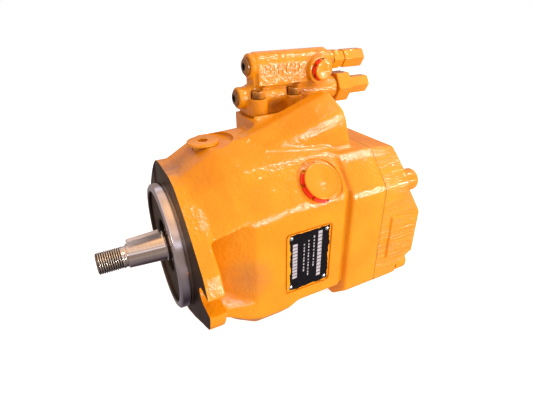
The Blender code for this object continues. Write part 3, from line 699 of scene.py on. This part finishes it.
def cover_bolts():
    for number, (y, z) in enumerate(COVER_BOLTS, 1):
        seat = PLATE_STEP_X + 0.3
        end = BOLT_END_X
        profile = [(178, 0), (178, 5.8), (179.5, 7), (seat, 7), (seat, BOLT_HEAD_R - 0.2)]
        profile += [(seat + 0.5, BOLT_HEAD_R), (end - 1.8, BOLT_HEAD_R), (end - 0.6, BOLT_HEAD_R - 0.6)]
        profile += [(end, BOLT_HEAD_R - 1.6), (end, 0)]
        socket = [(end - 8, 0), (end - 8, 6.93), (end - 0.4, 6.93), (end + 0.3, 7.6)]
        socket += [(end + 8, 7.6), (end + 8, 0)]
        socket = turned(socket, 6)
        bolt = worked(moved(turned(profile, 64), (0, y, z)), [("-", moved(socket, (0, y, z)))])
        piece(f"cover_bolt_{number}_head", bolt, SMOOTH_PAINT, "housing",
              [f"cover_bolt_{number}"])


# ---------------------------------------------------------------- shaft
THREAD = (-73.2, -50.4)
THREAD_PITCH = 2.0
THREAD_DEPTH = 1.3
THREAD_R = 10.8
SHAFT_PROFILE = [(-74, 9.0), (-73.4, 9.9), (-50, THREAD_R), (-49.2, 10.2), (-46.9, 10.2), (-46.3, 11.6)]
SHAFT_PROFILE += [(-45.9, 11.95), (-11.4, 13.8), (-11, 13.9), (-10.4, 15.0), (-10, 15.4), (-7.2, 15.4)]
SHAFT_PROFILE += [(-6.8, 14.9), (-6.3, 14.9), (-6, 17.1), (-5.5, 17.5), (31, 17.5), (32, 15), (104, 15)]
SHAFT_PROFILE += [(105, 16.2), (215.6, 16.2), (216.6, 15)]


def shaft_radius(x, angle):
    """Radius of the shaft at a place, with the thread's groove winding round its front end."""
    for (x0, r0), (x1, r1) in zip(SHAFT_PROFILE, SHAFT_PROFILE[1:]):
        if x <= x1:
            radius = r0 + (r1 - r0) * (x - x0) / (x1 - x0)
            break
    low, high = THREAD
    if low < x < high:
        phase = (x / THREAD_PITCH - angle / (2 * math.pi)) % 1.0
        groove = max(0.0, 1.35 * (1 - abs(2 * phase - 1)) - 0.35)
        fade = min(1.0, (x - low) / 0.8, (high - x) / 0.8)
        radius = THREAD_R - THREAD_DEPTH * groove * fade
    return radius


def shaft_grid(segments=72):
    """The shaft as rings of points, close together on the thread."""
    places = [x for x, _ in SHAFT_PROFILE if not THREAD[0] < x < THREAD[1]]
    steps = round((THREAD[1] - THREAD[0]) / THREAD_PITCH * 9)
    places += [THREAD[0] + (THREAD[1] - THREAD[0]) * i / steps for i in range(steps + 1)]
    bm = bmesh.new()
    rings = []
    for x in sorted(places):
        ring = []
        for i in range(segments):
            angle = 2 * math.pi * i / segments
            radius = shaft_radius(x, angle)
            ring.append(bm.verts.new((x, radius * math.cos(angle), radius * math.sin(angle))))
        rings.append(ring)
    for one, two in zip(rings, rings[1:]):
        for i in range(segments):
            j = (i + 1) % segments
            bm.faces.new((one[i], one[j], two[j], two[i]))
    bm.faces.new(rings[0])
    bm.faces.new(rings[-1])
    return bm


def shaft():
    ends = arc(-45.4 + 3.5, 0, 3.5, 90, 270, 12) + arc(-12.6 - 3.5, 0, 3.5, -90, 90, 12)
    keyway = prism(ends, 8, 30, "Z")
    centre_hole = turned([(-80, 0), (-80, 3.6), (-74, 3.6), (-71, 1.2), (-69, 1.2), (-68.4, 0)], 32)
    mesh = worked(shaft_grid(), [("-", keyway), ("-", centre_hole)])

    def threaded(centre, _normal):
        if not THREAD[0] - 0.8 < centre.x < THREAD[1] + 1:
            return 0
        # faces down in the thread's grooves take the dark root colour: painted shade
        return 2 if math.hypot(centre.y, centre.z) < 10.15 else 1

    piece("shaft_ground", mesh, ([SHAFT_STEEL, THREAD_STEEL, THREAD_ROOT_SHADE], threaded), "rotating_group",
          ["drive_shaft"], smooth=40)
    side = [(-45, 8.3), (-13, 8.3), (-13, 18.4), (-13.8, 19.15), (-43.6, 17.3), (-45, 15.8)]
    piece("parallel_key", prism(side, -3.2, 3.2, "Y"), KEY_STEEL, "rotating_group",
          ["shaft_key"], edge=0.35)
    lip = [(0.5, 26.6), (0.9, 27), (9, 27), (9, 17.8), (6.5, 17.8), (5.2, 18.6), (3.6, 22), (2.4, 23.4)]
    lip += [(1.6, 20.5), (1.0, 18.4), (0.5, 19.2), (0.5, 24.4), (1.1, 25.2)]
    piece("lip_seal", turned(lip, 96), RUBBER_AND_SOCKET_SHADE, "housing", ["shaft_seal"])


# ---------------------------------------------------------------- control valve
def valve_casting():
    half = 13.0
    upper = [(VALVE_Y + half, 141), (VALVE_Y + half, UPPER_Z)] + arc(VALVE_Y, UPPER_Z, half, 10, 170, 16)
    upper += [(VALVE_Y - half, UPPER_Z), (VALVE_Y - half, 141)]

    def along(bm, z):
        return moved(bm, (0, VALVE_Y, z))

    lower = [(85.5, 0), (85.5, 9.6), (86.5, 10.6), (95, 10.6), (98, 12.6), (200, 12.6), (200, 0)]
    steps = [
        ("+", along(turned([(98.5, 0), (98.5, 11), (99.5, 12), (110, 12), (110, 0)]), UPPER_Z)),
        ("+", along(turned([(183, 0), (183, 11.5), (189, 11), (193, 9.8), (196, 9.8), (196, 0)]), UPPER_Z)),
        ("+", along(turned(lower), LOWER_Z)),
        ("+", box(101, 185, VALVE_Y - 9, VALVE_Y + 9, LOWER_Z + 2, UPPER_Z - 2)),
        ("+", box(94, 160, VALVE_Y - 10, VALVE_Y + 13, PAD_Z + 0.3, LOWER_Z)),
    ]
    steps += [("+", upright(rod(PAD_Z + 0.5, LUG_Z, 9, 48), x, y)) for x, y in SCREW_SPOTS]
    px, py, pz = VALVE_PORT
    steps += [
        ("+", sideways(rod(-19, 0.0, 14, 64, 0.4), px, py, pz)),
        ("cast", 0.9, 5),
        ("-", along(rod(90, 199, 4.4, 24), UPPER_Z)),
        ("-", along(rod(95, 104.5, 8.6, 48), UPPER_Z)),
        ("-", along(rod(165, 199, 7.4, 40), UPPER_Z)),
        ("-", along(rod(82, 203, 4.4, 24), LOWER_Z)),
        ("-", along(rod(82, 92, 8.1, 48), LOWER_Z)),
        ("-", along(rod(165, 203, 7.4, 40), LOWER_Z)),
        ("-", sideways(rod(-9, 5, 6.9, 32), px, py, pz)),
        ("-", sideways(turned([(-1.2, 0), (-1.2, 10.4), (0.2, 11.4), (4, 11.4), (4, 0)]), px, py, pz)),
    ]
    for x, y in SCREW_SPOTS:
        steps.append(("-", upright(rod(100, LUG_Z + 1, 4.5, 24), x, y)))
        steps.append(("-", upright(rod(LUG_Z - 0.2, LUG_Z + 11, 7.6, 48), x, y)))
    # a plain row of raised bars on the front
    for number in range(9):
        x = 112.5 + 4.7 * number
        bar = rounded(x, x + 1.7, 152.5, 161.5, 0.8, 3)
        steps.append(("+", prism(bar, VALVE_Y - half - 0.6, VALVE_Y - half + 1, "Y")))
    for z in (117.5, 121.5, 125.5):
        bar = rounded(121.5, 126.5, z, z + 1.6, 0.7, 3)
        steps.append(("+", prism(bar, VALVE_Y - 10.6, VALVE_Y - 9, "Y")))
    piece("valve_casting", worked(prism(upper, 105, 187), steps), VALVE_PAINT, "housing",
          ["control_valve_body"])


def valve_fittings():
    def fitting(name, bm, z, stands_for, body="housing", material=SMOOTH_PAINT, edge=0.0):
        shape = moved(bm, (0, VALVE_Y, z))
        return piece(name, shape, material, body, [stands_for], edge)

    plugs = [("upper", UPPER_PLUG_X, UPPER_Z, 8.3, 9.2), ("lower", LOWER_PLUG_X, LOWER_Z, 7.8, 8.5)]
    for name, x, z, radius, depth in plugs:
        end = [(x, 0), (x, radius - 2.6), (x + 0.2, radius - 1.6), (x + 1.4, radius), (x + depth, radius)]
        place = (0, VALVE_Y, z)
        key_socket = moved(hexagon(x - 2, x + 4.2, 7), place)
        plug = worked(moved(turned(end + [(x + depth, 0)]), place), [("-", key_socket)])

        def socket(centre, _normal, z=z):
            # the hex socket's faces take the black rubber finish: painted shade in the socket
            return 1 if math.hypot(centre.y - VALVE_Y, centre.z - z) < 4.1 else 0

        piece(f"{name}_bore_plug", plug, ([DIRTY_PAINT_AND_SHADE, RUBBER_AND_SOCKET_SHADE], socket), "housing",
              [f"{name}_end_plug"])

    nut = [(196.3, 0), (196.3, 9.9), (196.9, 10.4), (203.9, 10.4), (204.5, 9.6), (204.5, 9.2), (209.2, 9.2)]
    fitting("lock_nut", turned(nut + [(209.6, 8.8), (209.6, 0)], 6), UPPER_Z, "upper_lock_nut", edge=0.3)
    chamber = [(200.3, 0), (200.3, 16.4), (201.2, 17.2), (217, 17.2), (220.8, 11.5), (220.8, 0)]
    fitting("spring_chamber", turned(chamber, 6), LOWER_Z, "lower_spring_housing", edge=0.5)
    for name, (low, high), z in (("upper", UPPER_CAP, UPPER_Z), ("lower", LOWER_CAP, LOWER_Z)):
        x0 = low.x
        x1 = high.x
        cap = [(x0, 0), (x0, 9.6), (x0 + 0.7, 10.3), (x1 - 2.8, 10.3), (x1 - 1.2, 9.4), (x1, 7.4), (x1, 0)]
        fitting(f"{name}_hexagon_cap", turned(cap, 6), z, f"{name}_adjuster_cap", f"{name}_cap", edge=0.5)

    for number, (x, y) in enumerate(SCREW_SPOTS, 1):
        profile = [(-30, 0), (-30, 4), (0.3, 4), (0.3, 6.0), (0.6, 6.2), (6, 6.2), (6.8, 5.4), (6.8, 0)]
        key_socket = upright(hexagon(3, 12, 5.5), x, y, LUG_Z)
        screw = worked(upright(turned(profile, 48), x, y, LUG_Z), [("-", key_socket)])
        piece(f"socket_screw_{number}", screw, DIRTY_PAINT_AND_SHADE, "housing",
              [f"valve_screw_{number}"])


# ---------------------------------------------------------------- caps, plug and nameplate
def transport_cap(radius, foot, height, spigot, depth, notches):
    """A plastic cap about X: painted face with a shallow rim, notched red edge, spigot in the port."""
    profile = [(-depth, 0), (-depth, spigot - 1.2), (-depth + 1.2, spigot), (0.3, spigot)]
    profile += [(0.3, radius + foot), (1.6, radius + foot), (2.2, radius)]
    profile += [(height - 1.0, radius), (height - 0.3, radius - 0.4), (height, radius - 1.0)]
    profile += [(height, radius - 1.9), (height - 0.35, radius - 2.2), (height - 0.35, 1.6)]
    profile += [(height - 1.0, 0)]
    steps = []
    for i in range(notches):
        notch = box(-1, height - 1.3, -1.1, 1.1, radius - 1.0, radius + 4)
        steps.append(("-", moved(notch, turn=2 * math.pi * i / notches, axis="X")))
    return profile, steps


def caps_and_plug():
    def cap_piece(name, sizes, place, seat, face, red_side, reach, slot_node):
        profile, steps = transport_cap(*sizes)
        mesh = worked(turned(profile, 96), steps)
        carrier = bmesh.new()
        carrier.from_mesh(mesh)
        placed = bpy.data.meshes.new(name)
        place(carrier).to_mesh(placed)
        carrier.free()

        def red(centre, _normal):
            """Under its rim the cap stays red on the side that the spray didn't reach."""
            out = centre - Vector(seat)
            level = out.dot(face)
            sideways_reach = (out - level * face).dot(red_side)
            return 1 if level < sizes[2] - 1.1 and sideways_reach > reach * sizes[0] else 0

        piece(name, placed, ([SMOOTH_PAINT, RED], red), "housing", [slot_node])

    slant = Vector((0, -math.sin(SLANT_ANGLE), math.cos(SLANT_ANGLE)))
    cap_piece("drain_cap", (18, 1.8, 6.6, 13, 13, 8), slanted, DRAIN_SPOT, slant,
              Vector((-0.88, -0.315, -0.354)), 0.4, "drain_port_cap")
    cap_piece("valve_cap", (9.8, 0.9, 6.3, 6.4, 8, 6), lambda bm: sideways(bm, *VALVE_PORT), VALVE_PORT,
              Vector((0, -1, 0)), Vector((-1, 0, -0.2)).normalized(), 0.1, "valve_port_cap")
    plug = [(-11, 0), (-11, 9.2), (-10, 10), (0.3, 10), (0.3, 15), (2.0, 15), (2.6, 14.6), (2.9, 13.8)]
    plug.append((2.9, 0))
    plug = worked(upright(turned(plug, 96), PLUG_X, 0, PLUG_FLOOR_Z),
                  [("-", upright(hexagon(-3, 6, 9.5), PLUG_X, 0, PLUG_FLOOR_Z))])

    def socket(centre, _normal):
        # faces deep in the hex socket take the darker screw paint: painted shade
        deep = centre.z < PLUG_FLOOR_Z + 1 and math.hypot(centre.x - PLUG_X, centre.y) < 5.6
        return 1 if deep else 0

    piece("casing_plug", plug, ([SMOOTH_PAINT, DIRTY_PAINT_AND_SHADE], socket), "housing",
          ["top_plug"])


def nameplate():
    """A black plate with plain pale bars on it, held by four round-headed rivets."""
    front = PLATE_LOW.y
    outline = rounded(PLATE_LOW.x, PLATE_HIGH.x, PLATE_LOW.z, PLATE_HIGH.z, 3.5)
    piece("nameplate_sheet", prism(outline, front, PLATE_HIGH.y, "Y"), PLATE_BLACK, "housing",
          ["nameplate"], edge=0.12)
    marks = []
    high = PLATE_HIGH.z - PLATE_LOW.z
    for x, low, top, width, cells in ((6, 0.22, 0.84, 5.2, 11), (34, 0.13, 0.95, 4.6, 13)):
        for i in range(cells):
            z0 = PLATE_LOW.z + high * (low + (top - low) * i / cells)
            z1 = PLATE_LOW.z + high * (low + (top - low) * (i + 0.78) / cells)
            marks.append((PLATE_LOW.x + x, PLATE_LOW.x + x + width, z0, z1))
    for x, low, top, cells in ((18, 0.30, 0.82, 9), (23, 0.20, 0.86, 12), (29, 0.34, 0.90, 10)):
        for i in range(cells):
            z0 = PLATE_LOW.z + high * (low + (top - low) * i / cells)
            z1 = z0 + high * (top - low) / cells * (0.45 + 0.25 * (i % 3 == 0))
            marks.append((PLATE_LOW.x + x, PLATE_LOW.x + x + 1.3, z0, z1))
    bm = bmesh.new()
    for x0, x1, z0, z1 in marks:
        part = box(x0, x1, front - 0.06, front + 0.05, z0, z1)
        carrier = bpy.data.meshes.new("mark")
        bmesh.ops.recalc_face_normals(part, faces=part.faces)
        part.to_mesh(carrier)
        part.free()
        bm.from_mesh(carrier)
        bpy.data.meshes.remove(carrier)
    piece("nameplate_marks", bm, MARK_GREY, "housing")
    inset = 4.3
    dome = [(-0.5, 0), (-0.5, 1.1), (0.0, 1.1), (0.0, 2.2), (0.35, 2.1), (0.8, 1.5), (1.0, 0.8), (1.05, 0)]
    places = []
    for x in (PLATE_LOW.x + inset, PLATE_HIGH.x - inset):
        places += [(x, PLATE_LOW.z + inset), (x, PLATE_HIGH.z - inset)]
    for number, (x, z) in enumerate(places, 1):
        rivet = sideways(turned(dome, 32), x, front + 0.05, z)
        piece(f"rivet_{number}", rivet, RIVET, "housing")


# ---------------------------------------------------------------- pieces kept from the frame
def dress_frame_nodes():
    """Give the pieces inside their steel, bronze or spring finish by their material slot."""
    looks = {"inner_steel": INNER_STEEL, "spring_steel": SPRING_STEEL, "bronze": BRONZE}
    for row in frame["record"]["subparts"]:
        if row["material_slot"] in looks:
            node = frame["nodes"][row["node"]]
            node.data.materials.clear()
            node.data.materials.append(looks[row["material_slot"]])


# ---------------------------------------------------------------- studio
# light from every height, from straight down (0) through the horizon (0.5) to straight up (1)
SKY = [(0.0, (0.04, 0.03, 0.04)), (0.05, (0.14, 0.12, 0.15)), (0.14, (0.22, 0.20, 0.24))]
SKY += [(0.26, (0.27, 0.23, 0.23)), (0.36, (0.38, 0.34, 0.36)), (0.50, (0.34, 0.28, 0.26))]
SKY += [(0.61, (0.32, 0.26, 0.24)), (0.68, (0.34, 0.28, 0.28)), (0.71, (1.00, 1.00, 1.20))]
SKY += [(0.76, (1.00, 0.98, 1.10)), (0.80, (0.60, 0.48, 0.43)), (0.87, (1.05, 0.84, 0.75))]
SKY += [(0.95, (0.95, 0.68, 0.50)), (1.0, (1.40, 0.92, 0.54))]
# area lights: name, place in metres, direction of the long side, length, width, power, seen in
# glossy surfaces. The two strips stand where only the bevelled edges between faces mirror them.
LIGHTS = [
    ("ridge strip", (0.67, -0.915, 0.155), (0.66, 0.25, -0.02), 0.80, 0.065, 8.5, True),
    ("crease strip", (0.72, -0.25, 0.88), (1.0, 0.04, -0.28), 0.62, 0.055, 6.0, True),
    ("front", (-1.2, -0.5, 0.5), (0, 1, 0), 0.2, 0.2, 2.0, True),
    ("key", (-0.35, -0.9, 1.5), (1, 0, 0), 0.5, 0.5, 1, False),
    ("ceiling", (0.15, -0.3, 2.0), (1, 0, 0), 2.5, 2.5, 6, False),
]
LIGHTS_AIM = (0.16, 0, 0.03)
FLOOR_RADIUS = 1.8
FLOOR_GAP = 0.0002
CAMERA_PLACE = (0.0186, -0.3221, 0.2128)
CAMERA_FORWARD = (0.3949, 0.7912, -0.467)
CAMERA_UP = (0.2251, 0.4095, 0.8841)


def studio():
    """A white floor that glows a little, a white backdrop, a graded sky for reflections and the lights."""
    floor_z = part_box("pump_housing")[0].z
    bm = bmesh.new()
    bmesh.ops.create_circle(bm, cap_ends=True, segments=96, radius=FLOOR_RADIUS)
    mesh = bpy.data.meshes.new("floor")
    bm.to_mesh(mesh)
    bm.free()
    floor = bpy.data.objects.new("floor", mesh)
    floor.location = (0, 0, floor_z - FLOOR_GAP)
    floor.visible_glossy = False
    bpy.context.scene.collection.objects.link(floor)
    m = Nodes("floor white")
    tone = m.ramp(m.noise(3, 2), [(0.3, (0.58, 0.58, 0.58)), (0.7, (0.62, 0.62, 0.62))])
    mesh.materials.append(m.finish(tone, None, None, Roughness=0.8,
                                   Emission_Color=(1, 1, 1, 1), Emission_Strength=0.78))

    world = bpy.data.worlds.new("studio")
    world.use_nodes = True
    bpy.context.scene.world = world
    tree = world.node_tree
    sky = tree.nodes["Background"]
    where = tree.nodes.new("ShaderNodeTexCoord").outputs["Generated"]
    split = tree.nodes.new("ShaderNodeSeparateXYZ")
    tree.links.new(where, split.inputs[0])
    height = tree.nodes.new("ShaderNodeMapRange")
    height.inputs["From Min"].default_value = -1.0
    tree.links.new(split.outputs["Z"], height.inputs["Value"])
    ramp = tree.nodes.new("ShaderNodeValToRGB")
    elements = ramp.color_ramp.elements
    for place, colour in SKY[1:-1]:
        elements.new(place).color = (*colour, 1)
    for element, (place, colour) in zip(elements, SKY):
        element.position = place
        element.color = (*colour, 1)
    tree.links.new(height.outputs["Result"], ramp.inputs["Fac"])
    tree.links.new(ramp.outputs["Color"], sky.inputs["Color"])
    sky.inputs["Strength"].default_value = 1.0
    # the backdrop itself is plain white
    path = tree.nodes.new("ShaderNodeLightPath")
    backdrop = tree.nodes.new("ShaderNodeBackground")
    backdrop.inputs["Color"].default_value = (1, 1, 1, 1)
    choice = tree.nodes.new("ShaderNodeMixShader")
    tree.links.new(path.outputs["Is Camera Ray"], choice.inputs["Fac"])
    tree.links.new(sky.outputs["Background"], choice.inputs[1])
    tree.links.new(backdrop.outputs["Background"], choice.inputs[2])
    tree.links.new(choice.outputs["Shader"], tree.nodes["World Output"].inputs["Surface"])

    centre = Vector(LIGHTS_AIM)
    for name, place, along, length, width, power, glossy in LIGHTS:
        data = bpy.data.lights.new(name, "AREA")
        data.shape = "RECTANGLE"
        data.size = length
        data.size_y = width
        data.energy = power
        light = bpy.data.objects.new(name, data)
        back = (Vector(place) - centre).normalized()
        side = back.cross(Vector(along)).normalized()
        turn = Matrix((side.cross(back), side, back)).transposed()
        light.matrix_world = Matrix.Translation(place) @ turn.to_4x4()
        light.visible_glossy = glossy
        bpy.context.scene.collection.objects.link(light)
    bpy.context.scene.view_settings.view_transform = "Standard"


def camera():
    data = bpy.data.cameras.new("camera")
    data.sensor_width = 36.0
    data.lens = 24.96
    view = bpy.data.objects.new("camera", data)
    forward = Vector(CAMERA_FORWARD).normalized()
    right = forward.cross(Vector(CAMERA_UP)).normalized()
    up = right.cross(forward)
    turn = Matrix((right, up, -forward)).transposed()
    view.matrix_world = Matrix.Translation(CAMERA_PLACE) @ turn.to_4x4()
    bpy.context.scene.collection.objects.link(view)
    bpy.context.scene.camera = view


housing_casting()
port_plate_casting()
gasket()
cover_bolts()
shaft()
valve_casting()
valve_fittings()
caps_and_plug()
nameplate()
dress_frame_nodes()
studio()
camera()
